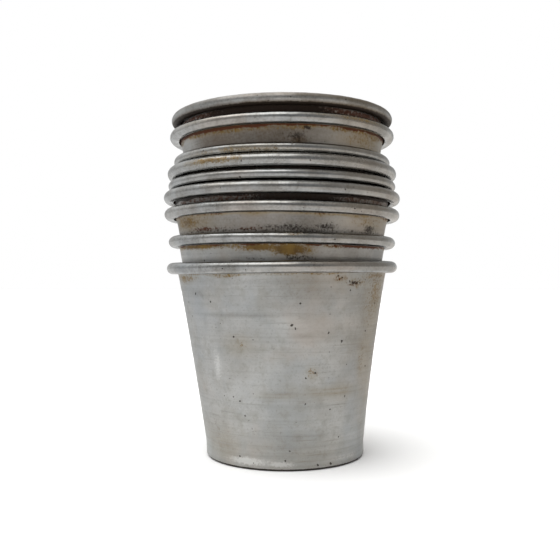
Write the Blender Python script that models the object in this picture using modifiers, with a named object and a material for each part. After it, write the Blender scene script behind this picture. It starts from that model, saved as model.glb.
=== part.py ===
"""A set of nine tapered aluminium measuring cups, nested in one stack.

Each cup is spun from thin sheet: a flat floor, a small corner, and a wall that leans outwards and
bows very slightly inwards on its way up. The sheet's top edge is rolled outwards and down around a
steel wire ring, which keeps the rim round. The cups are alike but not equal, as hand-spun cups
are, so each has its own rim, bead and throat, and each comes to rest at its own height in the cup
below.

Metres, +Z up. The origin is the centre of the bottom cup's underside, so the stack stands on z = 0.
A cup and its wire hang from one empty on the axis, which slides up along +Z to lift the cup out.
"""

from collections import namedtuple
from math import cos, radians, sin

import bpy

SHEET = 0.0005  # wall thickness
RIM_HEIGHT = 0.0702  # underside of a cup's floor to the centre of its rim bead
CORNER_RADIUS = 0.0012  # outside radius where floor and wall meet
WALL_BOW = 0.00045  # how far the wall lies inside a straight line from foot to throat
FLARE_HEIGHT = 0.005  # the top of the wall, which turns outwards to meet the bead
WIRE_CLEARANCE = 0.0004  # space between the wire and the sheet rolled around it

# Around the bead's centre, from straight out: from where wall turns to curl, over the top and the
# outermost point, to where the rolled edge ends short of the wall.
CURL_ANGLES = [radians(degrees) for degrees in (170, 135, 90, 45, 0, -45, -90, -125)]
WALL_STEPS = 3
CORNER_STEPS = 2
ROUND_STEPS = 28
WIRE_SIDES = 6
MERGE_DISTANCE = 0.00001

# nest: how far a cup's floor stands above the floor of the cup it sits in.
# rim: outermost radius, over the bead. bead: the bead's own radius. throat: inside radius of the
# wall at the bead's height. foot: outside radius at the floor. heel: height of an upright foot band.
Cup = namedtuple("Cup", "nest rim bead throat foot heel")

CUPS = (
    Cup(nest=0.0, rim=0.0435, bead=0.0021, throat=0.0391, foot=0.0298, heel=0.005),
    Cup(nest=0.0094, rim=0.0428, bead=0.00205, throat=0.0386, foot=0.0289, heel=0.0),
    Cup(nest=0.0103, rim=0.0444, bead=0.0021, throat=0.0396, foot=0.0289, heel=0.0),
    Cup(nest=0.0062, rim=0.0446, bead=0.00215, throat=0.0398, foot=0.0289, heel=0.0),
    Cup(nest=0.0044, rim=0.0429, bead=0.0018, throat=0.0392, foot=0.0286, heel=0.0),
    Cup(nest=0.0046, rim=0.0432, bead=0.0023, throat=0.0388, foot=0.0284, heel=0.0),
    Cup(nest=0.0043, rim=0.0408, bead=0.00185, throat=0.0374, foot=0.0281, heel=0.0),
    Cup(nest=0.0097, rim=0.0423, bead=0.00205, throat=0.0379, foot=0.0281, heel=0.0),
    Cup(nest=0.0063, rim=0.0417, bead=0.00205, throat=0.0376, foot=0.0280, heel=0.0),
)


def clear_scene():
    for obj in list(bpy.data.objects):
        bpy.data.objects.remove(obj)


def metal(name, colour, roughness):
    material = bpy.data.materials.new(name)
    material.use_nodes = True
    shader = material.node_tree.nodes["Principled BSDF"]
    shader.inputs["Base Color"].default_value = (*colour, 1.0)
    shader.inputs["Metallic"].default_value = 1.0
    shader.inputs["Roughness"].default_value = roughness
    return material


def bead_centre(cup):
    return cup.rim - cup.bead


def wall_radius(cup, z):
    """Inside radius of the wall at height z above the cup's underside."""
    foot = cup.foot - SHEET
    along = max(0.0, (z - cup.heel) / (RIM_HEIGHT - cup.heel))
    straight = foot + (cup.throat - foot) * along
    flare = bead_centre(cup) - cup.bead - cup.throat
    turned = max(0.0, 1.0 - (RIM_HEIGHT - z) / FLARE_HEIGHT)
    return straight - WALL_BOW * 4.0 * along * (1.0 - along) + flare * turned**2


def corner_arc(cup, radius):
    """Points of the corner between floor and wall, from the floor outwards and up."""
    centre_x = wall_radius(cup, CORNER_RADIUS) + SHEET - CORNER_RADIUS
    angles = [radians(-90 + 90 * step / CORNER_STEPS) for step in range(CORNER_STEPS + 1)]
    return [(centre_x + radius * cos(a), CORNER_RADIUS + radius * sin(a)) for a in angles]


def wall_points(cup, offset):
    """Points of the wall between corner and curl, from the bottom up, offset outwards."""
    top = RIM_HEIGHT - cup.bead
    heights = [cup.heel] if cup.heel else []
    low = max(cup.heel, CORNER_RADIUS)
    heights += [low + (top - low) * step / WALL_STEPS for step in range(1, WALL_STEPS + 1)]
    return [(wall_radius(cup, z) + offset, z) for z in heights]


def curl_arc(cup, radius):
    """Points of the rolled edge around the bead's centre, from the wall over the top and down."""
    centre = bead_centre(cup)
    return [(centre + radius * cos(a), RIM_HEIGHT + radius * sin(a)) for a in CURL_ANGLES]


def cup_profile(cup):
    """The sheet's closed section, from the inside of the floor over the rim to the underside."""
    inside = [(0.0, SHEET)]
    inside += corner_arc(cup, CORNER_RADIUS - SHEET)
    inside += wall_points(cup, 0.0)
    inside += curl_arc(cup, cup.bead)
    outside = [(0.0, 0.0)]
    outside += corner_arc(cup, CORNER_RADIUS)
    outside += wall_points(cup, SHEET)
    outside += curl_arc(cup, cup.bead - SHEET)
    return inside + outside[::-1]


def add_shell(name, cup, material, collection):
    """A cup turned from its section with a Screw modifier."""
    points = [(x, 0.0, z) for x, z in cup_profile(cup)]
    edges = [(i, i + 1) for i in range(len(points) - 1)]
    mesh = bpy.data.meshes.new(name)
    mesh.from_pydata(points, edges, [])
    mesh.materials.append(material)
    shell = bpy.data.objects.new(name, mesh)
    collection.objects.link(shell)
    screw = shell.modifiers.new("Turned", "SCREW")
    screw.axis = "Z"
    screw.steps = ROUND_STEPS
    screw.render_steps = ROUND_STEPS
    screw.use_merge_vertices = True
    screw.merge_threshold = MERGE_DISTANCE
    screw.use_smooth_shade = True
    return shell


def add_rim_wire(name, cup, material, collection):
    """The steel ring that the rim's edge is rolled around."""
    bpy.ops.mesh.primitive_torus_add(
        major_radius=bead_centre(cup),
        minor_radius=cup.bead - SHEET - WIRE_CLEARANCE,
        major_segments=ROUND_STEPS,
        minor_segments=WIRE_SIDES,
        location=(0.0, 0.0, RIM_HEIGHT),
    )
    wire = bpy.context.object
    wire.name = name
    wire.data.name = name
    wire.data.materials.append(material)
    wire.data.shade_smooth()
    for old in list(wire.users_collection):
        old.objects.unlink(wire)
    collection.objects.link(wire)
    return wire


def build():
    clear_scene()
    collection = bpy.data.collections.new("measuring_cup_set")
    bpy.context.scene.collection.children.link(collection)
    aluminium = metal("aluminium", (0.56, 0.56, 0.54), 0.42)
    wire_steel = metal("wire_steel", (0.30, 0.22, 0.17), 0.60)
    below = None
    for number, cup in enumerate(CUPS, start=1):
        lift = bpy.data.objects.new(f"cup_{number}_lift", None)
        lift.location = (0.0, 0.0, cup.nest)
        lift.parent = below
        collection.objects.link(lift)
        shell = add_shell(f"cup_{number}_shell", cup, aluminium, collection)
        wire = add_rim_wire(f"cup_{number}_rim_wire", cup, wire_steel, collection)
        shell.parent = lift
        wire.parent = lift
        below = lift


build()
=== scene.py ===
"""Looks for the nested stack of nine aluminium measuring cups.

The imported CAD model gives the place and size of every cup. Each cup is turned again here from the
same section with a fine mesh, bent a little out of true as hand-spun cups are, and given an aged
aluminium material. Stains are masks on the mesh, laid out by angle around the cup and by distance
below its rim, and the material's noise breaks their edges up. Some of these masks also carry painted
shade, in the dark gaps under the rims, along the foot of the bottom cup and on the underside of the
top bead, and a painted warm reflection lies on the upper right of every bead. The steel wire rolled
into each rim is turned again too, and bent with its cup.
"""

from collections import namedtuple
from functools import partial
from math import cos, pi, radians, sin

import bpy
import numpy as np
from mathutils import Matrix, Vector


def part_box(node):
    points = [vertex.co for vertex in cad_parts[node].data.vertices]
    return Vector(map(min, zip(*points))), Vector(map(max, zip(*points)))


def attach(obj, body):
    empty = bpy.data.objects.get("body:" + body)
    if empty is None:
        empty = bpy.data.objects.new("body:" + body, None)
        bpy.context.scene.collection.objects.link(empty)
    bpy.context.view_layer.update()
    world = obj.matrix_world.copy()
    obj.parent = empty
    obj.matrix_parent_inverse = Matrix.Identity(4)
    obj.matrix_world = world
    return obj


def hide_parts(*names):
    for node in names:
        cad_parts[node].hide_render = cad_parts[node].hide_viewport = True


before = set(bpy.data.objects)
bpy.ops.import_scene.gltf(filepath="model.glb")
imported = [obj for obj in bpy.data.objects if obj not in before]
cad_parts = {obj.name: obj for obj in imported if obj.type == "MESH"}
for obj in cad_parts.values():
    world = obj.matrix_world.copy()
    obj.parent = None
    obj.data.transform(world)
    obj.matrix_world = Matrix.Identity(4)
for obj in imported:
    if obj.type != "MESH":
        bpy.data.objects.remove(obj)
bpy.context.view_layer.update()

MM = 0.001

# The section of a cup, with the same rules as the CAD model.
SHEET = 0.5 * MM
CORNER_RADIUS = 1.2 * MM
WALL_BOW = 0.45 * MM
FLARE_HEIGHT = 5.0 * MM
HEELS = {1: 5.0 * MM}  # height of the upright foot band, on the cup that has one
CURL_START = 170.0  # degrees around the bead's centre, from straight out
CURL_END = -128.0
LEVEL_TOLERANCE = 0.01 * MM  # vertices this close in height belong to the same ring

# Seeds of the random choices, to which each cup's number is added.
BEND_SEED = 40
STAIN_SEED = 900
RAGGED_SEED = 300
RAGGED_SEED_STEP = 7

# How far the stack is out of true. Angles go around +Z from the front (-Y), towards +X.
LEAN = 1.25 * MM  # the bottom cup's foot stands this far to the right of its rim
LEAN_HEIGHT = 70.0 * MM  # everything above this height is upright
LEAN_POWER = 1.6  # above 1, so that the lean grows towards the foot
RIM_TILTS = {  # how much higher than its centre each rim is at its right
    1: 0.30 * MM, 2: -0.24 * MM, 3: -0.20 * MM, 4: -0.22 * MM, 5: -0.12 * MM,
    6: -0.04 * MM, 7: -0.15 * MM, 8: 0.15 * MM, 9: 0.25 * MM,
}
RIM_PITCHES = {1: -0.20 * MM, 6: 0.12 * MM, 7: 0.10 * MM, 8: 0.05 * MM}  # and at its front
TILT_HEIGHT = 22.0 * MM  # the top of the wall, which takes up the rim's tilt
FOOT_HEIGHT = 8.0 * MM  # the bottom of the wall, where its ripples die out towards the floor
SNAKING = 0.6  # how far a ripple's waves wander around the cup on their way up, in radians
RIPPLE_PEAK = 1.4  # scales a ripple's sum of waves to about -1 to 1

NUMBERS = range(1, 10)

# Fineness of the meshes: the space between a cup's rows low on its wall, and its points around.
# The bottom cup's wall shows in full, so its mesh is finer than the others.
Fineness = namedtuple("Fineness", "low_gap around")
BOTTOM_MESH = Fineness(0.6 * MM, 360)
UPPER_MESH = Fineness(1.2 * MM, 256)
FINE_HEIGHT = 11.0 * MM  # the part of the outer wall under the rim that gets fine rows
FINE_GAP = 0.35 * MM
FLOOR_RINGS = 10
INNER_ROWS = 40
INNER_CORNER_STEPS = 5
OUTER_CORNER_STEPS = 6
BEAD_STEPS = 30
BEAD_INSIDE_STEPS = 12
WIRE_AROUND = 128
WIRE_SIDES = 12
SMOOTH_ANGLE = radians(50)  # edges sharper than this stay sharp, as at the rim's cut edge

Cup = namedtuple("Cup", "number base rim_height rim bead throat foot heel")
Stain = namedtuple("Stain", "kind angle below width height strength")
Band = namedtuple("Band", "kind start end strength ragged fade")


# ---------------------------------------------------------------- shape

def wall_terms(z, rim_height, heel):
    """Weights of foot, throat and bead in the wall's inside radius at height z, and its bow."""
    along = np.maximum(0.0, (z - heel) / (rim_height - heel))
    turned = np.maximum(0.0, 1.0 - (rim_height - z) / FLARE_HEIGHT) ** 2
    return 1.0 - along, along - turned, turned, WALL_BOW * 4.0 * along * (1.0 - along)


def ring_radius(shell, height):
    """Radius of the innermost ring of the CAD shell's vertices at this height."""
    points = np.array([v.co[:] for v in shell.data.vertices])
    level = np.abs(points[:, 2] - height) < LEVEL_TOLERANCE
    return np.hypot(points[level, 0], points[level, 1]).min()


def read_cup(number):
    """A cup's sizes, read from its two CAD nodes."""
    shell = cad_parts[f"cup_{number}_shell"]
    shell_low, shell_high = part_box(shell.name)
    wire_low, wire_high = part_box(f"cup_{number}_rim_wire")
    heel = HEELS.get(number, 0.0)
    rim_height = (wire_low.z + wire_high.z) / 2 - shell_low.z
    bead = shell_high.z - shell_low.z - rim_height
    bead_inside = shell_high.x - 2 * bead
    rows, values = [], []
    for z in (CORNER_RADIUS, rim_height - bead):
        foot_part, throat_part, bead_part, bow = wall_terms(z, rim_height, heel)
        rows.append((foot_part, throat_part))
        values.append(ring_radius(shell, shell_low.z + z) + bow - bead_part * bead_inside)
    foot, throat = np.linalg.solve(rows, values)
    return Cup(number, shell_low.z, rim_height, shell_high.x, bead, throat, foot, heel)


def wall_radius(cup, z):
    foot_part, throat_part, bead_part, bow = wall_terms(z, cup.rim_height, cup.heel)
    return cup.foot * foot_part + cup.throat * throat_part + (cup.rim - 2 * cup.bead) * bead_part - bow


def arc(centre, radius, start, end, steps):
    """(radius, height) points of an arc in the section, angles in degrees from straight out."""
    a = np.radians(np.linspace(start, end, steps + 1))
    return np.column_stack((centre[0] + radius * np.cos(a), centre[1] + radius * np.sin(a)))


def wall_rows(cup, low_gap):
    """Heights of the outer wall's rows: coarser low down, fine under the rim, among the stains."""
    bend_height = cup.rim_height - FINE_HEIGHT
    low = np.arange(CORNER_RADIUS + low_gap, bend_height, low_gap)
    high = np.arange(bend_height, cup.rim_height, FINE_GAP)
    return np.concatenate((low, high, [cup.rim_height]))


def cup_section(cup, low_gap):
    """The closed section from the inside of the floor over the rim to the underside.

    Returns its (radius, height) points and, for each, how far it is inside the cup and on the bead.
    """
    corner = (wall_radius(cup, CORNER_RADIUS) + SHEET - CORNER_RADIUS, CORNER_RADIUS)
    bead_centre = (cup.rim - cup.bead, cup.rim_height)
    floor = np.linspace(0.0, corner[0], FLOOR_RINGS)[:-1]
    inner_z = np.linspace(CORNER_RADIUS, cup.rim_height, INNER_ROWS)[1:]
    outer_z = wall_rows(cup, low_gap)
    parts = [
        (np.column_stack((floor, np.full(len(floor), SHEET))), 1.0, 0.0),
        (arc(corner, CORNER_RADIUS - SHEET, -90, 0, INNER_CORNER_STEPS), 1.0, 0.0),
        (np.column_stack((wall_radius(cup, inner_z), inner_z)), 1.0, 0.0),
        (arc(bead_centre, cup.bead, CURL_START, CURL_END, BEAD_STEPS), 0.0, 1.0),
        (arc(bead_centre, cup.bead - SHEET, CURL_END, CURL_START, BEAD_INSIDE_STEPS), 0.0, 0.0),
        (np.column_stack((wall_radius(cup, outer_z) + SHEET, outer_z))[::-1], 0.0, 0.0),
        (arc(corner, CORNER_RADIUS, 0, -90, OUTER_CORNER_STEPS), 0.0, 0.0),
        (np.column_stack((floor, np.zeros(len(floor))))[::-1], 0.0, 0.0),
    ]
    points = np.concatenate([part[0] for part in parts])
    inside = np.concatenate([np.full(len(part[0]), part[1]) for part in parts])
    on_bead = np.concatenate([np.full(len(part[0]), part[2]) for part in parts])
    return points, inside, on_bead


def smooth_step(x):
    x = np.clip(x, 0.0, 1.0)
    return x * x * (3.0 - 2.0 * x)


def ripple(angle, along, rng, waves, length=1.0):
    """Smooth noise that closes on itself around the cup, about -1 to 1.

    It has the given numbers of waves around the cup, and one in about this length up the wall.
    """
    total = np.zeros(np.broadcast(angle, along).shape)
    for wave in waves:
        turn, rise = rng.uniform(0, 2 * pi, 2)
        total += np.sin(wave * angle + turn + SNAKING * np.sin(2 * pi * along / length + rise))
        total += np.sin(2 * pi * along / length * rng.uniform(0.7, 1.6) + wave * angle - rise)
    return total / (2 * len(waves)) ** 0.5 / RIPPLE_PEAK


def bend(cup, angle, radius, height):
    """Puts points of a turned shape in place: slightly rippled, tilted at the rim and leaning."""
    rng = np.random.default_rng(BEND_SEED + cup.number)
    near_rim = smooth_step((height - cup.rim_height + TILT_HEIGHT) / TILT_HEIGHT)
    wall = smooth_step(height / FOOT_HEIGHT) * (1.0 - near_rim)
    level = 0.0 * height  # ripples that run all around without changing up the wall
    radius = radius + 0.05 * MM * wall * ripple(angle, height, rng, (3, 5, 8), 31 * MM)
    radius = radius + 0.03 * MM * wall * ripple(angle, height, rng, (11, 17, 23), 9 * MM)
    radius = radius + 0.022 * MM * near_rim * ripple(angle, level, rng, (19, 31, 47, 67))
    lift = RIM_TILTS[cup.number] * np.sin(angle) + RIM_PITCHES.get(cup.number, 0.0) * np.cos(angle)
    lift = lift + 0.06 * MM * ripple(angle, level, rng, (2, 3, 5))
    lift = lift + 0.022 * MM * ripple(angle, level, rng, (23, 37, 59))
    z = cup.base + height + near_rim * lift
    below = 1.0 - np.clip(z / LEAN_HEIGHT, 0.0, 1.0)
    x = radius * np.sin(angle) + LEAN * below**LEAN_POWER
    return x, -radius * np.cos(angle), z


def turned_mesh(name, points, closed, around, place):
    """A mesh turned around +Z from section points, placed by a function of angle, radius and height.

    The section either closes on itself, or starts and ends on the axis.
    """
    angle = np.arange(around) * 2 * pi / around
    grid_angle, grid_radius = np.meshgrid(angle, points[:, 0])
    grid_height = np.repeat(points[:, 1:2], around, axis=1)
    co = np.stack(place(grid_angle, grid_radius, grid_height), axis=-1)
    rows = len(points)
    index = np.arange(rows * around).reshape(rows, around)
    if closed:
        index = np.vstack((index, index[:1]))
    here, there = index[:-1], index[1:]
    quads = np.stack((here, np.roll(here, -1, 1), np.roll(there, -1, 1), there), -1).reshape(-1, 4)
    mesh = bpy.data.meshes.new(name)
    if closed:
        mesh.from_pydata(co.reshape(-1, 3).tolist(), [], quads.tolist())
        return mesh
    # The first and last rings lie on the axis, so their quads close to triangles at one point.
    first, last = index[0, 0], index[-1, 0]
    faces = []
    for a, b, c, d in quads.tolist():
        if a < around:
            faces.append((first, c, d))
        elif d >= last:
            faces.append((a, b, last))
        else:
            faces.append((a, b, c, d))
    mesh.from_pydata(co.reshape(-1, 3).tolist(), [], faces)
    # The section runs up the inside and down the outside, which turns its faces inwards.
    mesh.flip_normals()
    return mesh


def set_attribute(mesh, name, values):
    attribute = mesh.attributes.new(name, "FLOAT", "POINT")
    attribute.data.foreach_set("value", np.ascontiguousarray(values, np.float32).ravel())


# ---------------------------------------------------------------- stains

# The kinds of stain: brown oxide, a warm and a golden film of grease, rust, soot, and rubbed metal.
# The oxide and the soot also carry painted shade, and the warm film on the beads a painted reflection.
KINDS = ("film_and_shade", "tint", "grease", "rust", "soot_and_shade", "wear")

# What is seen on each cup. A stain is given by its angle in degrees from the front, its distance
# below the bead's centre in mm, its half-width in degrees and its half-height in mm. A band runs all
# around, from its start to its end in mm below the bead's centre, with a ragged lower edge, and
# fades in and out over some mm. A film is brown oxide on the wall, given as (angle, strength) pairs
# and blended between them around the cup. It thins out lower down, where the next cup covers it.
# On cups 4 to 7 and 9, whose walls show only in the narrow gap above the rim of the cup below, the
# dark film is both brown oxide and painted shade.
FILM_END = (10.0, 26.0)  # mm below the bead's centre where a film starts to thin out and is thinnest
FILM_THINNED = 0.75  # the share of its strength that it loses
WALL_FILMS_AND_SHADE = {
    1: [(-70, 0.08), (-40, 0.0), (30, 0.0), (60, 0.10)],
    2: [(-60, 0.02), (-30, 0.16), (0, 0.34), (12, 0.50), (25, 0.28), (60, 0.24)],
    3: [(-60, 0.46), (-30, 0.46), (-5, 0.50), (12, 0.62), (22, 0.46), (35, 0.12), (60, 0.26)],
    4: [(-65, 0.00), (-48, 0.64), (-28, 0.84), (0, 0.92), (18, 0.95), (45, 0.66), (60, 0.72)],
    5: [(0, 0.90)],
    6: [(0, 0.90)],
    7: [(0, 0.80)],
    8: [(-62, 0.15), (-45, 0.72), (0, 0.84), (15, 0.66), (30, 0.36), (60, 0.28)],
    9: [(-60, 0.22), (-45, 0.50), (-25, 0.95), (10, 0.95), (25, 0.62), (45, 0.45), (60, 0.62)],
}
WALL_BANDS = {
    # Cup 1's soot band along its foot is a painted contact shadow.
    1: [Band("grease", 1.8, 2.6, 0.34, 0.8, 0.7), Band("soot_and_shade", 69.55, 72.0, 1.6, 0.1, 0.3)],
    2: [Band("grease", 1.6, 2.6, 0.42, 0.6, 1.0), Band("rust", 1.4, 2.1, 0.75, 0.5, 0.5)],
    # Cup 3's soot band low on its wall, next to the rim below, is real dirt and partly painted shade.
    3: [Band("tint", 1.2, 2.6, 0.70, 0.5, 1.4), Band("rust", 1.2, 1.9, 0.42, 0.4, 0.5),
        Band("grease", 1.5, 2.4, 0.36, 0.6, 1.4), Band("soot_and_shade", 6.8, 8.8, 0.36, 1.0, 2.4)],
    # The soot bands just under the rims of cups 4 to 7 darken the narrow gaps between rims: painted
    # shade.
    4: [Band("soot_and_shade", 1.2, 2.3, 1.00, 0.3, 0.6), Band("rust", 1.6, 8.0, 0.37, 0.6, 1.0)],
    5: [Band("soot_and_shade", 1.4, 5.0, 1.50, 0.3, 0.6)],
    6: [Band("soot_and_shade", 1.6, 5.0, 1.50, 0.3, 0.6)],
    7: [Band("soot_and_shade", 1.4, 4.0, 1.40, 0.4, 0.6)],
    8: [Band("rust", 1.4, 2.2, 0.85, 0.3, 0.5), Band("grease", 1.6, 3.0, 0.46, 0.9, 1.4)],
    9: [Band("rust", 1.6, 7.0, 0.56, 0.8, 0.8)],
}
WALL_STAINS = {
    1: [
        Stain("tint", 33, 43.2, 24, 2.6, 0.46),
        Stain("tint", -2, 43.8, 16, 1.1, 0.30),
        Stain("tint", -26, 27.0, 12, 5.0, 0.36),
        # This tall tint, and the tall film at 52 degrees, darken and warm the right side from rim to
        # foot:
        # a painted reflection of the dim, warm room on that side.
        Stain("tint", 66, 30.0, 14, 26.0, 0.50),
        Stain("tint", 20, 66.0, 36, 7.0, 0.26),
        Stain("tint", -48, 63.0, 18, 6.0, 0.34),
        Stain("tint", 12, 5.0, 16, 4.0, 0.26),
        Stain("grease", 62, 8.0, 12, 12.0, 0.36),
        Stain("grease", 54, 33.0, 4, 6.0, 0.28),
        Stain("grease", 17, 36.0, 3.5, 2.0, 0.33),
        Stain("grease", -22, 26.0, 5, 2.0, 0.17),
        Stain("grease", -64, 3.6, 16, 1.6, 0.44),
        Stain("grease", 62, 3.2, 18, 1.4, 0.48),
        Stain("rust", 30, 4.0, 3.5, 1.0, 0.40),
        Stain("grease", 31, 4.0, 5, 1.2, 0.42),
        Stain("soot_and_shade", 39.5, 5.6, 3.5, 0.7, 0.50),
        Stain("rust", 40, 5.8, 5, 1.0, 0.44),
        Stain("grease", 42, 5.6, 7, 1.6, 0.40),
        Stain("film_and_shade", -25, 16.4, 28, 0.6, 0.22),
        Stain("film_and_shade", 0, 43.0, 9, 0.6, 0.25),
        Stain("film_and_shade", 11, 23.4, 7, 0.7, 0.20),
        Stain("film_and_shade", 52, 20.0, 12, 26.0, 0.16),
        Stain("soot_and_shade", -20, 56.0, 4, 3.0, 0.20),
        Stain("film_and_shade", 8, 8.0, 13, 8.0, 0.26),
        Stain("film_and_shade", -54, 56.0, 16, 9.0, 0.20),
        Stain("film_and_shade", -50, 9.0, 9, 1.6, 0.22),
        Stain("film_and_shade", 0, 60.0, 26, 5.0, 0.14),
        Stain("wear", -42, 34.0, 3.5, 7.0, 0.55),
        Stain("wear", -27, 67.2, 16, 1.3, 0.90),
        Stain("wear", -3, 67.8, 9, 1.0, 0.85),
        Stain("wear", 45, 67.0, 16, 1.0, 0.45),
    ],
    2: [
        Stain("grease", -12, 3.0, 12, 1.3, 0.85),
        Stain("grease", 4, 3.6, 10, 2.0, 0.98),
        Stain("grease", -50, 2.4, 28, 1.0, 0.80),
        Stain("soot_and_shade", 8, 6.4, 9, 1.0, 0.50),
        Stain("soot_and_shade", -13, 6.8, 7, 0.5, 0.46),
        Stain("rust", 46, 2.2, 26, 0.7, 0.80),
    ],
    3: [
        Stain("grease", -58, 4.0, 16, 2.6, 0.55),
        Stain("tint", -56, 4.0, 22, 4.0, 0.50),
        Stain("tint", 56, 4.6, 22, 4.0, 0.42),
        Stain("rust", -43, 6.8, 14, 1.0, 0.52),
        Stain("rust", -16, 7.2, 10, 0.9, 0.46),
        Stain("soot_and_shade", 4, 7.0, 17, 1.4, 0.48),
        Stain("soot_and_shade", 22, 6.2, 7, 1.4, 0.56),
        Stain("soot_and_shade", 52, 6.4, 7, 1.8, 0.60),
        Stain("grease", 52, 3.8, 16, 2.0, 0.30),
    ],
    # The broad soot patches of cups 4 and 9 are painted shade, on walls in the gap above the rim below.
    4: [Stain("soot_and_shade", 7, 3.5, 20, 3.8, 1.40)],
    9: [Stain("soot_and_shade", -8, 3.5, 32, 3.8, 1.50)],
    8: [
        Stain("rust", -34, 2.2, 22, 0.45, 0.90),
        Stain("grease", -30, 3.0, 28, 0.8, 0.50),
        Stain("soot_and_shade", 13, 2.8, 2.0, 0.6, 0.90),
        Stain("soot_and_shade", 8, 5.6, 8, 2.2, 0.36),
        Stain("film_and_shade", 8, 7.0, 12, 3.6, 0.95),
        Stain("tint", 54, 4.6, 22, 5.0, 0.60),
        Stain("grease", 50, 4.6, 17, 3.6, 0.30),
        Stain("rust", 44, 5.0, 4, 2.6, 0.24),
    ],
}

# The beads have stains of their own. A negative distance is above the bead's centre.
NO_FILM = [(0, 0.0)]
BEAD_BANDS = {
    # On the top cup, the two lower bands darken the underside of the bead: painted shade.
    9: [Band("film_and_shade", -4.0, -0.5, 0.52, 0.1, 1.2), Band("film_and_shade", 0.9, 4.0, 1.0, 0.1, 1.4),
        Band("soot_and_shade", 1.35, 4.0, 1.1, 0.1, 0.9)],
}
BEAD_WARM_REFLECTION = Stain("tint", 44, -0.7, 28, 1.3, 0.42)  # a painted warm reflection of the room, on the upper right of every bead
BEAD_STAINS = {
    2: [Stain("grease", 6, -1.2, 4, 0.8, 0.40)],
    6: [Stain("grease", -32, -0.4, 16, 1.1, 0.58)],
    7: [Stain("grease", -20, 0.6, 30, 1.0, 0.34), Stain("tint", -14, 0.4, 14, 1.4, 0.40)],
    8: [Stain("grease", 38, -0.9, 20, 0.9, 0.36), Stain("tint", -50, -0.9, 14, 1.0, 0.40)],
}
BEAD_DULLNESS = {6: 0.05, 9: 0.16}  # extra roughness of the beads that have lost their shine
BACK_STAINS = 16  # how many there are on the back of each cup, which the photograph doesn't show


def random_stains(cup):
    """Stains on the wall around the cup's back, where more of them are close to the rim."""
    rng = np.random.default_rng(STAIN_SEED + cup.number)
    stains = []
    for _ in range(BACK_STAINS):
        kind = rng.choice(("grease", "grease", "soot_and_shade", "rust"))
        angle = rng.uniform(75, 285)
        below = 2.0 + 66.0 * rng.uniform() ** 1.8
        width = rng.uniform(3, 15)
        height = rng.uniform(1, 7)
        strength = rng.uniform(0.2, 0.5)
        stains.append(Stain(kind, angle, below, width, height, strength))
    return stains


def stain_mask(cup, kind, angle, height, stains, bands, film_and_shade):
    """How strongly a kind of stain, painted shade included, covers each point, before the material
    breaks its edge up.
    """
    below = (cup.rim_height - height) / MM
    mask = np.zeros(angle.shape)
    if kind == "film_and_shade":
        turns, strengths = zip(*film_and_shade)
        hidden = smooth_step((below - FILM_END[0]) / (FILM_END[1] - FILM_END[0]))
        around = np.interp(np.degrees(angle), turns, strengths, period=360)
        mask += around * (1.0 - FILM_THINNED * hidden)
    for stain in stains:
        if stain.kind == kind:
            turn = (np.degrees(angle) - stain.angle + 180.0) % 360.0 - 180.0
            spot = np.exp(-((turn / stain.width) ** 2) - ((below - stain.below) / stain.height) ** 2)
            mask = np.maximum(mask, stain.strength * spot)
    rng = np.random.default_rng(RAGGED_SEED + RAGGED_SEED_STEP * cup.number)
    for band in bands:
        ragged = band.ragged * ripple(angle, 0.0 * height, rng, (3, 7, 13, 21))
        if band.kind == kind:
            upper = smooth_step(0.5 + (below - band.start) / band.fade)
            lower = smooth_step(0.5 + (band.end + ragged - below) / band.fade)
            mask = np.maximum(mask, band.strength * upper * lower)
    return mask


# ---------------------------------------------------------------- materials

def add(tree, kind, inputs=None, **settings):
    """A shader node with its settings and inputs, where an input is a value or another node's socket."""
    node = tree.nodes.new(kind)
    for name, value in settings.items():
        setattr(node, name, value)
    for name, value in (inputs or {}).items():
        if isinstance(value, bpy.types.NodeSocket):
            tree.links.new(value, node.inputs[name])
        else:
            node.inputs[name].default_value = value
    return node


def maths(tree, operation, a, b):
    return add(tree, "ShaderNodeMath", {0: a, 1: b}, operation=operation).outputs[0]


def remap(tree, value, low, high, to_low=0.0, to_high=1.0):
    """The value as it goes smoothly from low to high, on a new scale. Outside it stays at the ends."""
    inputs = {"Value": value, "From Min": low, "From Max": high, "To Min": to_low, "To Max": to_high}
    return add(tree, "ShaderNodeMapRange", inputs, interpolation_type="SMOOTHSTEP").outputs[0]


def noise(tree, vector, scale, detail, roughness, shift=0.0):
    """Noise with this many features per metre, where shift makes a different pattern."""
    inputs = {"Vector": vector, "W": shift, "Scale": scale, "Detail": detail, "Roughness": roughness}
    return add(tree, "ShaderNodeTexNoise", inputs, noise_dimensions="4D").outputs[0]


def mix_colour(tree, amount, a, b):
    node = add(tree, "ShaderNodeMix", data_type="RGBA")
    for socket, value in ((0, amount), (6, a), (7, b)):
        if isinstance(value, bpy.types.NodeSocket):
            tree.links.new(value, node.inputs[socket])
        else:
            node.inputs[socket].default_value = value
    return node.outputs[2]


def mix_value(tree, amount, a, b):
    """a where the amount is 0, b where it is 1."""
    return maths(tree, "ADD", a, maths(tree, "MULTIPLY", amount, maths(tree, "SUBTRACT", b, a)))


def rgb(red, green, blue):
    return (red, green, blue, 1.0)


def new_material(name):
    material = bpy.data.materials.new(name)
    material.use_nodes = True
    return material, material.node_tree, material.node_tree.nodes["Principled BSDF"]


METAL_DARK = rgb(0.46, 0.47, 0.47)
METAL_PALE = rgb(0.56, 0.56, 0.55)

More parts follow.
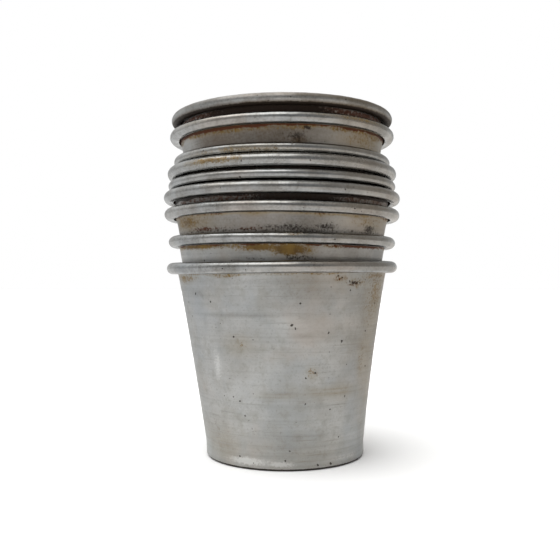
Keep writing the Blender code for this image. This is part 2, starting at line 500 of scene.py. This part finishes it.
# Tints over the bare metal: a noise's name, the values between which the tint comes in, its amount
# at the first and at the second of those values, and its colour.
METAL_TINTS = (
    ("patches", 0.45, 0.70, (0.0, 0.60), rgb(0.40, 0.385, 0.355)),
    ("patches", 0.45, 0.30, (0.0, 0.45), rgb(0.64, 0.64, 0.63)),
    ("mottle", 0.50, 0.75, (0.0, 0.70), rgb(0.37, 0.36, 0.33)),
    ("lines", 0.25, 0.60, (0.25, 0.0), rgb(0.33, 0.33, 0.32)),
    ("streaks", 0.58, 0.75, (0.0, 0.55), rgb(0.30, 0.285, 0.26)),
    ("speckle", 0.50, 0.80, (0.0, 0.85), rgb(0.30, 0.29, 0.27)),
    ("tone", 0.50, 0.68, (0.0, 0.55), rgb(0.53, 0.47, 0.42)),
    ("tone", 0.50, 0.32, (0.0, 0.55), rgb(0.43, 0.465, 0.50)),
)
STAIN_LEVEL = 0.42  # a mask's value at which half of the surface is stained
STAIN_SOFTNESS = {"grease": 0.25, "rust": 0.18, "soot_and_shade": 0.22, "wear": 0.30}  # of speckled edges
STAIN_SPECKLE = 2.2  # how strongly noise breaks the masks up
SHAKE = 1.2 * MM  # how far noise moves the outline of a mark
DIRT_AND_SHADE_COVER = 0.45  # how much less metallic the surface is under dirt and painted shade
DIRT_AND_SHADE_ROUGHNESS = 0.55
MARK_CORE = 0.55  # the share of a mark's radius inside which it is full
PATTERN_STEP = 3.7  # sets the noise of one cup apart from the next one's


def dots(tree, vector, scale, size, share):
    """Small dark spots in a share of a Voronoi pattern's cells."""
    cells = add(tree, "ShaderNodeTexVoronoi", {"Vector": vector, "Scale": scale, "Randomness": 1.0})
    chance = add(tree, "ShaderNodeSeparateColor", {"Color": cells.outputs["Color"]})
    present = maths(tree, "GREATER_THAN", chance.outputs[0], 1.0 - share)
    reach = maths(tree, "MULTIPLY", chance.outputs[1], size)
    inner = remap(tree, maths(tree, "SUBTRACT", cells.outputs["Distance"], reach), 0.05, -0.02)
    return maths(tree, "MULTIPLY", present, inner)


def marks_mask(tree, vector, marks):
    """Spots at given places, each a (point, radius) pair."""
    total = 0.0
    for point, radius in marks:
        shifted = tuple(v + SHAKE / 2 for v in point)  # shaken coordinates are this far off on average
        away = add(tree, "ShaderNodeVectorMath", {0: vector, 1: shifted}, operation="DISTANCE")
        spot = remap(tree, away.outputs["Value"], radius, MARK_CORE * radius)
        total = maths(tree, "MAXIMUM", spot, total)
    return total


def attribute(tree, name):
    return add(tree, "ShaderNodeAttribute", attribute_name=name).outputs["Fac"]


def surface_noises(tree, place, shift):
    """The noises that the whole material is made from, as a dictionary of sockets."""
    axes = add(tree, "ShaderNodeSeparateXYZ", {"Vector": place})
    along = attribute(tree, "along")

    def drawn_out(across, lengthwise):
        """Coordinates for noise that is stretched around the cup, as the turning lines are."""
        return add(tree, "ShaderNodeCombineXYZ", {
            "X": maths(tree, "MULTIPLY", axes.outputs[0], lengthwise),
            "Y": maths(tree, "MULTIPLY", axes.outputs[1], lengthwise),
            "Z": maths(tree, "MULTIPLY", along, across),
        }).outputs[0]

    noises = {
        "lines": noise(tree, drawn_out(900.0, 9.0), 1.0, 4.0, 0.7, shift),
        "streaks": noise(tree, drawn_out(1500.0, 60.0), 1.0, 3.0, 0.6, shift),
        "clouds": noise(tree, place, 42.0, 5.0, 0.6, shift),
        "patches": noise(tree, place, 110.0, 5.0, 0.65, shift + 1.0),
        "mottle": noise(tree, place, 240.0, 4.0, 0.65, shift),
        "speckle": noise(tree, place, 1300.0, 3.0, 0.75, shift),
        "tone": noise(tree, place, 30.0, 4.0, 0.6, shift + 2.0),
    }
    fine = maths(tree, "MULTIPLY", noises["speckle"], 0.75)
    broken = maths(tree, "ADD", maths(tree, "MULTIPLY", noises["mottle"], 0.25), fine)
    noises["broken"] = maths(tree, "SUBTRACT", broken, 0.5)
    return noises


def bare_metal(tree, noises):
    """Colour of the metal without stains: each step mixes one noise's tint over what is there."""
    metal = mix_colour(tree, remap(tree, noises["clouds"], 0.35, 0.65), METAL_DARK, METAL_PALE)
    for name, low, high, amount, colour in METAL_TINTS:
        to_low, to_high = amount
        metal = mix_colour(tree, remap(tree, noises[name], low, high, to_low, to_high), metal, colour)
    return metal


def stain_amounts(tree, noises):
    """How much of each kind of stain shows, painted shade included, from the mesh's masks with their
    edges broken up.
    """
    amounts = {}
    for kind, softness in STAIN_SOFTNESS.items():
        mask = attribute(tree, kind)
        speckle = maths(tree, "MULTIPLY", noises["broken"], STAIN_SPECKLE)
        uneven = maths(tree, "ADD", mask, speckle)
        shown = remap(tree, uneven, STAIN_LEVEL - softness, STAIN_LEVEL + softness)
        amounts[kind] = maths(tree, "MULTIPLY", remap(tree, mask, 0.02, 0.15), shown)
    thin = remap(tree, maths(tree, "ADD", noises["clouds"], noises["broken"]), 0.25, 0.75, 0.85, 1.12)
    amounts["film_and_shade"] = maths(tree, "MULTIPLY", attribute(tree, "film_and_shade"), thin)
    streaky = remap(tree, noises["streaks"], 0.35, 0.65, 0.7, 1.1)
    amounts["tint"] = maths(tree, "MULTIPLY", attribute(tree, "tint"), streaky)
    patchy = remap(tree, noises["mottle"], 0.3, 0.7, 0.5, 1.1)
    amounts["halo"] = maths(tree, "MULTIPLY", attribute(tree, "grease"), patchy)
    return amounts


def pit_amount(tree, place, marks):
    """Scattered pits, and those at given places, whose outlines are shaken out of round."""
    large = dots(tree, place, 300.0, 0.10, 0.16)
    small = dots(tree, place, 620.0, 0.12, 0.10)
    pits = maths(tree, "MAXIMUM", large, small)
    if not marks:
        return pits
    shake = add(tree, "ShaderNodeTexNoise", {"Vector": place, "Scale": 1100.0, "Detail": 2.0})
    inputs = {0: shake.outputs["Color"], 1: (SHAKE,) * 3, 2: place}
    shaken = add(tree, "ShaderNodeVectorMath", inputs, operation="MULTIPLY_ADD").outputs["Vector"]
    return maths(tree, "MAXIMUM", pits, marks_mask(tree, shaken, marks))


def stained_colour(tree, metal, noises, bead, stains, pits):
    """The metal's colour with the beads' grime, every kind of stain and the pits laid over it. The oxide
    and soot layers also paint shade, and the warm layer on the beads a reflection.
    """
    uneven = maths(tree, "ADD", noises["patches"], noises["broken"])
    grimy = maths(tree, "ADD", 0.10, remap(tree, uneven, 0.35, 0.75, 0.0, 0.26))
    cloudy = remap(tree, noises["clouds"], 0.35, 0.65)
    brown = mix_colour(tree, cloudy, rgb(0.095, 0.078, 0.062), rgb(0.115, 0.084, 0.056))
    mottled = remap(tree, noises["mottle"], 0.3, 0.7)
    golden = mix_colour(tree, mottled, rgb(0.13, 0.065, 0.006), rgb(0.27, 0.160, 0.032))
    layers = (
        (bead, grimy, rgb(0.02, 0.012, 0.006)),
        (stains["wear"], 0.8, rgb(0.78, 0.78, 0.77)),
        # brown oxide, which in the gaps under the rims is also painted shade
        (stains["film_and_shade"], 1.0, brown),
        # warm film, which on the upper right of every bead is a painted reflection
        (stains["tint"], 1.0, rgb(0.31, 0.25, 0.16)),
        (stains["halo"], 1.0, rgb(0.35, 0.27, 0.145)),
        (stains["grease"], 0.92, golden),
        (stains["rust"], 0.95, rgb(0.11, 0.028, 0.005)),
        # soot, which in the gaps under the rims, along the foot and under the top bead is painted shade
        (stains["soot_and_shade"], 0.92, rgb(0.022, 0.013, 0.008)),
        (pits, 0.9, rgb(0.035, 0.025, 0.02)),
    )
    colour = metal
    for amount, most, tint in layers:
        colour = mix_colour(tree, maths(tree, "MULTIPLY", amount, most), colour, tint)
    return colour


def gloss(tree, noises, bead, inside, dirt_and_shade, dullness):
    """Roughness: the beads are polished by handling, the inside is dull, and so are dirt and painted
    shade.
    """
    dull = remap(tree, noises["clouds"], 0.3, 0.7, 0.50, 0.40)
    dull = maths(tree, "ADD", dull, remap(tree, noises["lines"], 0.3, 0.7, 0.05, -0.05))
    dull = maths(tree, "ADD", dull, maths(tree, "MULTIPLY", inside, 0.04))
    polished = remap(tree, noises["patches"], 0.35, 0.65, 0.14 + dullness, 0.27 + dullness)
    return mix_value(tree, dirt_and_shade, mix_value(tree, bead, dull, polished), DIRT_AND_SHADE_ROUGHNESS)


def add_bump(tree, shader, heights):
    """Adds up (socket, height in metres) pairs and gives the shader a bump from them."""
    total = 0.0
    for value, height in heights:
        total = maths(tree, "ADD", total, maths(tree, "MULTIPLY", value, height))
    bump = add(tree, "ShaderNodeBump", {"Height": total, "Strength": 1.0, "Distance": 1.0})
    tree.links.new(bump.outputs[0], shader.inputs["Normal"])


def aged_aluminium(cup, marks):
    """Dull spun aluminium: turning lines, cloudy oxide, pits, and stains in the mesh's masks, with the
    painted shade and reflection that some masks carry.
    """
    material, tree, shader = new_material(f"aged_aluminium_{cup.number}")
    place = add(tree, "ShaderNodeTexCoord").outputs["Object"]
    bead = attribute(tree, "bead")
    noises = surface_noises(tree, place, PATTERN_STEP * cup.number)
    stains = stain_amounts(tree, noises)
    pits = pit_amount(tree, place, marks)
    # dirt, and the painted shade that the soot mask carries
    dirt_and_shade = pits
    for kind in ("soot_and_shade", "rust", "grease"):
        dirt_and_shade = maths(tree, "MAXIMUM", stains[kind], dirt_and_shade)

    colour = stained_colour(tree, bare_metal(tree, noises), noises, bead, stains, pits)
    metallic = maths(tree, "SUBTRACT", 1.0, maths(tree, "MULTIPLY", dirt_and_shade, DIRT_AND_SHADE_COVER))
    dullness = BEAD_DULLNESS.get(cup.number, 0.0)
    roughness = gloss(tree, noises, bead, attribute(tree, "inside"), dirt_and_shade, dullness)
    tree.links.new(colour, shader.inputs["Base Color"])
    tree.links.new(metallic, shader.inputs["Metallic"])
    tree.links.new(roughness, shader.inputs["Roughness"])
    add_bump(tree, shader, (
        (noises["lines"], 0.012 * MM),
        (noises["streaks"], 0.006 * MM),
        (noises["mottle"], 0.020 * MM),
        (noises["speckle"], 0.011 * MM),
        (pits, -0.06 * MM),
        (dirt_and_shade, 0.02 * MM),
    ))
    return material


def rusty_wire():
    """Drawn steel wire under a brown skin of rust."""
    material, tree, shader = new_material("rusty_wire")
    place = add(tree, "ShaderNodeTexCoord").outputs["Object"]
    patches = noise(tree, place, 260.0, 5.0, 0.65)
    grain = noise(tree, place, 1400.0, 3.0, 0.6)
    bare = remap(tree, patches, 0.55, 0.66)
    rust = mix_colour(tree, remap(tree, grain, 0.3, 0.7), rgb(0.20, 0.075, 0.028), rgb(0.09, 0.04, 0.02))
    tree.links.new(mix_colour(tree, bare, rust, rgb(0.35, 0.33, 0.31)), shader.inputs["Base Color"])
    tree.links.new(bare, shader.inputs["Metallic"])
    tree.links.new(remap(tree, patches, 0.3, 0.7, 0.85, 0.45), shader.inputs["Roughness"])
    add_bump(tree, shader, ((grain, 0.03 * MM),))
    return material


# ---------------------------------------------------------------- pieces

# Pits on the walls, by angle in degrees from the front, height in mm and radius in mm.
WALL_MARKS = {
    1: [
        (5, 50.6, 0.5), (6.8, 49.4, 0.38), (-28, 46.3, 0.5), (-53, 61.1, 0.5), (-41, 58.5, 0.5),
        (-62, 52.7, 0.5), (-25, 18.9, 0.4), (13, 32.5, 0.5), (19, 34.1, 0.5), (61, 34.7, 0.5),
        (69, 37.1, 0.5), (26, 47.7, 0.4), (35, 44.7, 0.5), (41, 25.2, 0.4), (0, 3.8, 0.4),
        (-32, 4.4, 0.5), (36.5, 65.2, 0.5), (38.5, 64.8, 0.6), (40, 65.0, 0.6), (42, 64.6, 0.5),
        (44, 64.7, 0.4), (29, 67.0, 0.4), (31.5, 66.6, 0.4), (22, 1.9, 0.5), (32, 1.7, 0.6),
        (13, 23.5, 0.4), (-28, 24.1, 0.4), (3, 7.2, 0.4),
    ],
}

# Pits on the beads, by angle in degrees from the front, angle in degrees around the bead from
# straight out, and radius in mm.
BEAD_MARKS = {
    1: [(-27, -8, 0.36), (15, 14, 0.36), (-16, -24, 0.30), (41, 4, 0.30)],
    2: [(-36, 6, 0.30), (24, -12, 0.32)],
    3: [(-30, 12, 0.30), (33, -6, 0.34), (9, -18, 0.30)],
    4: [(-27, -4, 0.36), (28, -6, 0.40), (-36, 22, 0.32), (32, 6, 0.30)],
    6: [(12.5, -16, 0.34), (-18, -14, 0.34), (37, 10, 0.30)],
    7: [(-3, 2, 0.32), (5, 38, 0.36), (-41, 8, 0.30)],
    8: [(33, 34, 0.32), (-40, 10, 0.32), (-12, -10, 0.28), (20, 2, 0.28)],
    9: [(-6, -30, 0.34), (31, 10, 0.34), (38, 22, 0.30)],
}


def surface_point(cup, angle, radius, height):
    """A point of the bent surface, from its angle in degrees and its place in the section."""
    return tuple(float(v) for v in bend(cup, np.array(radians(angle)), radius, np.array(height)))


def pit_places(cup):
    """The given pits of a cup, as (point, radius) pairs."""
    places = []
    for angle, height, size in WALL_MARKS.get(cup.number, []):
        radius = wall_radius(cup, height * MM) + SHEET
        places.append((surface_point(cup, angle, radius, height * MM), size * MM))
    for angle, turn, size in BEAD_MARKS.get(cup.number, []):
        radius = cup.rim - cup.bead + cup.bead * cos(radians(turn))
        height = cup.rim_height + cup.bead * sin(radians(turn))
        places.append((surface_point(cup, angle, radius, height), size * MM))
    return places


def add_piece(mesh, material, cup, node):
    """A visible piece that rides on its cup's body and takes the place of one CAD node."""
    mesh.materials.append(material)
    mesh.shade_smooth()
    piece = bpy.data.objects.new(mesh.name, mesh)
    bpy.context.scene.collection.objects.link(piece)
    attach(piece, f"cup_{cup.number}")
    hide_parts(node)


def write_masks(cup, mesh, points, inside, on_bead, around):
    """Gives every vertex its place along the section, and how much it has of each kind of stain,
    painted shade included.
    """
    steps = np.hypot(*np.diff(points, axis=0).T)
    along = np.concatenate(([0.0], np.cumsum(steps)))
    columns = np.stack((along, points[:, 1], inside, on_bead))
    along, height, inside, on_bead = np.repeat(columns[:, :, None], around, axis=2)
    angle = np.broadcast_to(np.arange(around) * 2 * pi / around, along.shape)
    set_attribute(mesh, "along", along)
    set_attribute(mesh, "bead", on_bead)
    set_attribute(mesh, "inside", inside)
    number = cup.number
    wall_stains = WALL_STAINS.get(number, []) + random_stains(cup)
    bead_stains = BEAD_STAINS.get(number, []) + [BEAD_WARM_REFLECTION]
    bead_bands = BEAD_BANDS.get(number, [])
    for kind in KINDS:
        wall = stain_mask(cup, kind, angle, height, wall_stains, WALL_BANDS[number], WALL_FILMS_AND_SHADE[number])
        bead = stain_mask(cup, kind, angle, height, bead_stains, bead_bands, NO_FILM)
        set_attribute(mesh, kind, (1.0 - inside) * (wall * (1.0 - on_bead) + bead * on_bead))


def add_cup(cup):
    low_gap, around = BOTTOM_MESH if cup.number == 1 else UPPER_MESH
    points, inside, on_bead = cup_section(cup, low_gap)
    mesh = turned_mesh(f"cup_{cup.number}_spun", points, False, around, partial(bend, cup))
    write_masks(cup, mesh, points, inside, on_bead, around)
    material = aged_aluminium(cup, pit_places(cup))
    add_piece(mesh, material, cup, f"cup_{cup.number}_shell")
    mesh.set_sharp_from_angle(angle=SMOOTH_ANGLE)


def add_wire(cup, material):
    _, wire_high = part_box(f"cup_{cup.number}_rim_wire")
    middle = cup.rim - cup.bead
    points = arc((middle, cup.rim_height), wire_high.x - middle, 0, 360, WIRE_SIDES)[:-1]
    mesh = turned_mesh(f"cup_{cup.number}_wire", points, True, WIRE_AROUND, partial(bend, cup))
    add_piece(mesh, material, cup, f"cup_{cup.number}_rim_wire")


# ---------------------------------------------------------------- studio

EYE_HEIGHT = 65.9 * MM  # the camera looks level, at the height of the bottom cup's rim
EYE_DISTANCE = 280.6 * MM
LENS = 47.1  # these two in mm
SENSOR_WIDTH = 36.0
SHIFT_X = -0.003393  # shares of the picture's width
SHIFT_Y = -0.001071
FLOOR_SIZE = 8.0
FLOOR_HEIGHT = -0.02 * MM
BOUNCE_HEIGHT = -0.04 * MM


def direction(azimuth, elevation):
    """The unit vector towards a place around the stack: azimuth 0 is the front (-Y), 90 is +X."""
    a, e = radians(azimuth), radians(elevation)
    return (sin(a) * cos(e), -cos(a) * cos(e), sin(e))


def add_camera():
    camera = bpy.data.cameras.new("camera")
    camera.lens = LENS
    camera.sensor_width = SENSOR_WIDTH
    camera.clip_start = 0.01
    camera.shift_x = SHIFT_X
    camera.shift_y = SHIFT_Y
    eye = bpy.data.objects.new("camera", camera)
    eye.location = (0.0, -EYE_DISTANCE, EYE_HEIGHT)
    eye.rotation_euler = (radians(90), 0.0, 0.0)
    bpy.context.scene.collection.objects.link(eye)
    bpy.context.scene.camera = eye


def add_plane(name, height):
    """A level plane that isn't part of the object, with its shader and node tree."""
    bpy.ops.mesh.primitive_plane_add(size=FLOOR_SIZE, location=(0.0, 0.0, height))
    plane = bpy.context.object
    plane.name = name
    material, tree, shader = new_material(name)
    shader.inputs["Roughness"].default_value = 0.9
    plane.data.materials.append(material)
    return plane, shader, tree


def add_floor():
    """The pale floor that the camera sees."""
    floor, shader, _ = add_plane("floor", FLOOR_HEIGHT)
    shader.inputs["Base Color"].default_value = rgb(0.97, 0.97, 0.97)
    floor.visible_diffuse = False
    floor.visible_glossy = False
    floor.visible_shadow = False


def add_bounce():
    """The floor as the metal sees it, which is darker than the camera's, with painted shade on its left
    and right that is warmer on the right.

    It has painted light close to the stack, where the stack's own shade would make it too dim.
    """
    bounce, shader, tree = add_plane("bounce", BOUNCE_HEIGHT)
    place = add(tree, "ShaderNodeTexCoord").outputs["Object"]
    axes = add(tree, "ShaderNodeSeparateXYZ", {"Vector": place})
    left = remap(tree, axes.outputs[0], -0.03, -0.13)
    right = remap(tree, axes.outputs[0], 0.03, 0.14)
    away = add(tree, "ShaderNodeVectorMath", {0: place}, operation="LENGTH").outputs["Value"]
    # painted shade on the left and right, warmer on the right
    tone = mix_colour(tree, left, rgb(0.57, 0.57, 0.565), rgb(0.50, 0.50, 0.50))
    tone = mix_colour(tree, right, tone, rgb(0.475, 0.455, 0.43))
    # painted light close to the stack
    tone = mix_colour(tree, remap(tree, away, 0.10, 0.04, 0.0, 0.55), tone, rgb(0.90, 0.90, 0.88))
    tree.links.new(tone, shader.inputs["Base Color"])
    bounce.visible_camera = False


def add_key():
    """A broad light from above that whitens the floor, and leaves the metal's reflections alone."""
    light = bpy.data.lights.new("key", "SUN")
    light.energy = 2.0
    light.angle = radians(60)
    key = bpy.data.objects.new("key", light)
    key.rotation_euler = (radians(15), 0.0, radians(-30))
    key.visible_glossy = False
    bpy.context.scene.collection.objects.link(key)


SKYLIGHT = rgb(1.9, 1.9, 1.88)
BACKDROP = rgb(1.0, 1.0, 1.0)  # what the camera sees beyond the floor

Glow = namedtuple("Glow", "azimuth elevation outer inner colour")
GLOWS = (  # patches of the surroundings: where they are, how far they reach and where they are full
    Glow(20.0, 22.0, 46.0, 10.0, rgb(0.24, 0.245, 0.25)),
    Glow(95.0, 28.0, 50.0, 10.0, rgb(0.34, 0.325, 0.31)),
    Glow(-125.0, 48.0, 50.0, 12.0, rgb(0.85, 0.85, 0.84)),
)


def add_world():
    """A studio around the cups: a skylight up on the left, and a room that is dimmer elsewhere."""
    world = bpy.data.worlds.new("studio")
    world.use_nodes = True
    bpy.context.scene.world = world
    tree = world.node_tree
    tree.nodes.clear()
    toward = add(tree, "ShaderNodeTexCoord").outputs["Generated"]
    axes = add(tree, "ShaderNodeSeparateXYZ", {"Vector": toward})
    height = axes.outputs[2]
    sky = mix_colour(tree, remap(tree, height, 0.0, 0.30), rgb(0.60, 0.60, 0.59), rgb(0.38, 0.38, 0.375))
    sky = mix_colour(tree, remap(tree, height, 0.50, 0.85), sky, rgb(0.62, 0.61, 0.59))
    for glow in GLOWS:
        middle = direction(glow.azimuth, glow.elevation)
        near = add(tree, "ShaderNodeVectorMath", {0: toward, 1: middle}, operation="DOT_PRODUCT")
        amount = remap(tree, near.outputs["Value"], cos(radians(glow.outer)), cos(radians(glow.inner)))
        sky = mix_colour(tree, amount, sky, glow.colour)
    left = remap(tree, axes.outputs[0], 0.24, 0.0)
    skylight = maths(tree, "MULTIPLY", left, remap(tree, height, 0.64, 0.82))
    sky = mix_colour(tree, skylight, sky, SKYLIGHT)
    seen = add(tree, "ShaderNodeLightPath").outputs["Is Camera Ray"]
    shown = mix_colour(tree, seen, sky, BACKDROP)
    background = add(tree, "ShaderNodeBackground", {"Color": shown, "Strength": 1.0})
    output = add(tree, "ShaderNodeOutputWorld")
    tree.links.new(background.outputs[0], output.inputs["Surface"])


def main():
    bpy.context.scene.view_settings.view_transform = "Standard"
    add_camera()
    add_world()
    add_key()
    add_floor()
    add_bounce()
    wire_material = rusty_wire()
    for number in NUMBERS:
        cup = read_cup(number)
        add_cup(cup)
        add_wire(cup, wire_material)


main()
